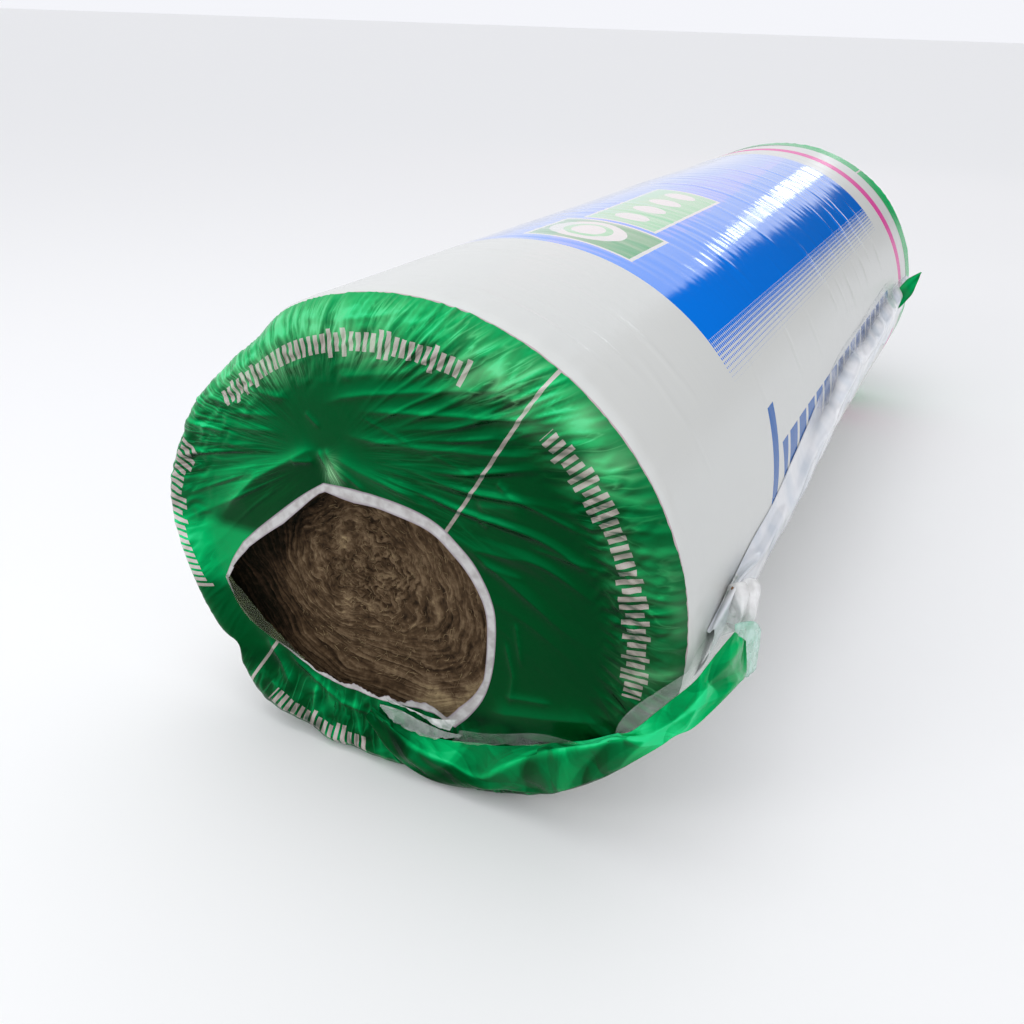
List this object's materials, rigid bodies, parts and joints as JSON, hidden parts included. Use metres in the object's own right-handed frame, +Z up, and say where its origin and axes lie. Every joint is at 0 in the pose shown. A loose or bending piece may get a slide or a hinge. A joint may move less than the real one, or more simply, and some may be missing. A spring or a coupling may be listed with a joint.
{
  "type": "mineral wool insulation roll in film sleeve",
  "caption": "Tightly wound mineral wool blanket roll lying on its side in a shrunk film sleeve that is drawn in over both ends around an open mouth.",
  "frame": {"origin": "middle of the flattened strip that the roll rests on, at mid length, on the floor", "axes": "+Z up, +Y along the roll's axis away from the end with the loose flap, +X to the side with the lengthwise fin"},
  "size_m": [0.4706, 1.2144, 0.3925],
  "materials": {
    "glass_wool": "matt brown fibres, wound in turns",
    "printed_film": "glossy thin polyethylene film printed green, white and blue, finely wrinkled"
  },
  "bodies": {
    "root": {"glass_wool_roll": "glass_wool", "film_sleeve": "printed_film"}
  },
  "joints": []
}
